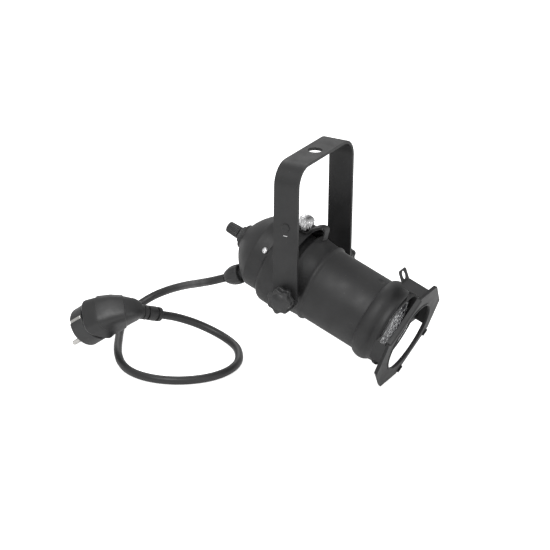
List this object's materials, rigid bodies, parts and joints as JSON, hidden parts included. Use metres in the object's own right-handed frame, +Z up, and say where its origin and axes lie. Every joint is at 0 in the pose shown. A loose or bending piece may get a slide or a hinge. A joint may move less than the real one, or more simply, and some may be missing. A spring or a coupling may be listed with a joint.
{
  "type": "par can light",
  "caption": "Small black par can spotlight in a flat yoke, with star knobs, a slide-in colour frame, a push-pull lamp focus and a short mains lead with an angled plug.",
  "frame": {"origin": "centre of the yoke's hanging hole, on the yoke's top face", "axes": "+Z up through the hanging hole, +X along the pivot axis between the star knobs, -Y the way the barrel points, nose down by 20 degrees"},
  "size_m": [0.1941, 0.3433, 0.2134],
  "materials": {
    "black_paint": "satin black powder coat with a fine orange-peel grain",
    "black_plastic": "moulded black plastic",
    "black_rubber": "smooth black cable sheath",
    "bright_steel": "zinc plated steel",
    "nickel": "nickel plated contact metal",
    "brass": "plain brass",
    "white_ceramic": "white glazed ceramic",
    "silvered_glass": "silvered inside of a pressed glass reflector",
    "lens_glass": "stippled pressed glass",
    "lead_blue": "blue wire sleeve",
    "lead_brown": "brown wire sleeve",
    "lead_earth": "green and yellow wire sleeve"
  },
  "bodies": {
    "yoke": {"yoke": "black_paint", "yoke_rivet": "black_paint", "arm_washer_left": "bright_steel", "arm_washer_right": "bright_steel"},
    "barrel": {"barrel_tube": "black_paint", "front_ring": "black_paint", "rear_drum": "black_paint", "baffle_ring": "black_paint", "rear_cap": "black_paint", "cap_screw_1": "bright_steel", "cap_screw_2": "bright_steel", "cap_screw_3": "bright_steel", "safety_loop": "black_paint", "thumbscrew_nut": "bright_steel", "filter_holder": "black_paint", "safety_eyelet": "black_paint", "pivot_bush_left": "black_paint", "pivot_bush_right": "black_paint", "pivot_nut_left": "bright_steel", "pivot_nut_right": "bright_steel", "live_lead": "lead_brown", "neutral_lead": "lead_blue", "earth_lead": "lead_earth", "earth_lug": "brass", "earth_screw": "brass", "earth_nut": "brass", "cable_gland": "black_plastic", "gland_locknut": "black_plastic", "focus_nut": "black_plastic", "mains_cord": "black_rubber", "plug_strain_relief": "black_rubber", "plug_grip": "black_plastic", "plug_contact_body": "black_plastic", "plug_pin_low": "nickel", "plug_pin_high": "nickel", "earth_contact_front": "nickel", "earth_contact_rear": "nickel"},
    "left_knob": {"star_knob_left": "black_plastic", "knob_stud_left": "bright_steel"},
    "right_knob": {"star_knob_right": "black_plastic", "knob_stud_right": "bright_steel"},
    "thumbscrew": {"thumbscrew_shank": "bright_steel", "thumbscrew_cap": "bright_steel"},
    "focus_slider": {"focus_knob": "black_plastic", "focus_rod": "bright_steel", "lamp_carriage": "bright_steel", "lampholder": "white_ceramic", "lamp_base": "brass", "lamp_reflector": "silvered_glass", "lamp_lens": "lens_glass"},
    "colour_frame": {"filter_frame": "black_paint"}
  },
  "joints": [
    {"name": "barrel_tilt", "type": "hinge", "parent": "yoke", "child": "barrel", "pos_m": [0, 0, -0.1282], "axis": [1, 0, 0], "range_deg": [-110, 80]},
    {"name": "left_knob_turn", "type": "hinge", "parent": "barrel", "child": "left_knob", "pos_m": [-0.062, 0, -0.1282], "axis": [-1, 0, 0], "range_deg": [0, 360]},
    {"name": "right_knob_turn", "type": "hinge", "parent": "barrel", "child": "right_knob", "pos_m": [0.062, 0, -0.1282], "axis": [1, 0, 0], "range_deg": [0, 360]},
    {"name": "thumbscrew_turn", "type": "hinge", "parent": "barrel", "child": "thumbscrew", "pos_m": [-0.00536, 0.0075, -0.07894], "axis": [-0.1219, -0.3416, 0.9319], "range_deg": [0, 360]},
    {"name": "focus_slide", "type": "slide", "parent": "barrel", "child": "focus_slider", "axis": [0, 0.9389, 0.3442], "range_m": [0, 0.012]},
    {"name": "colour_frame_slide", "type": "slide", "parent": "barrel", "child": "colour_frame", "axis": [0.7071, -0.2434, 0.6639], "range_m": [0, 0.07]}
  ]
}
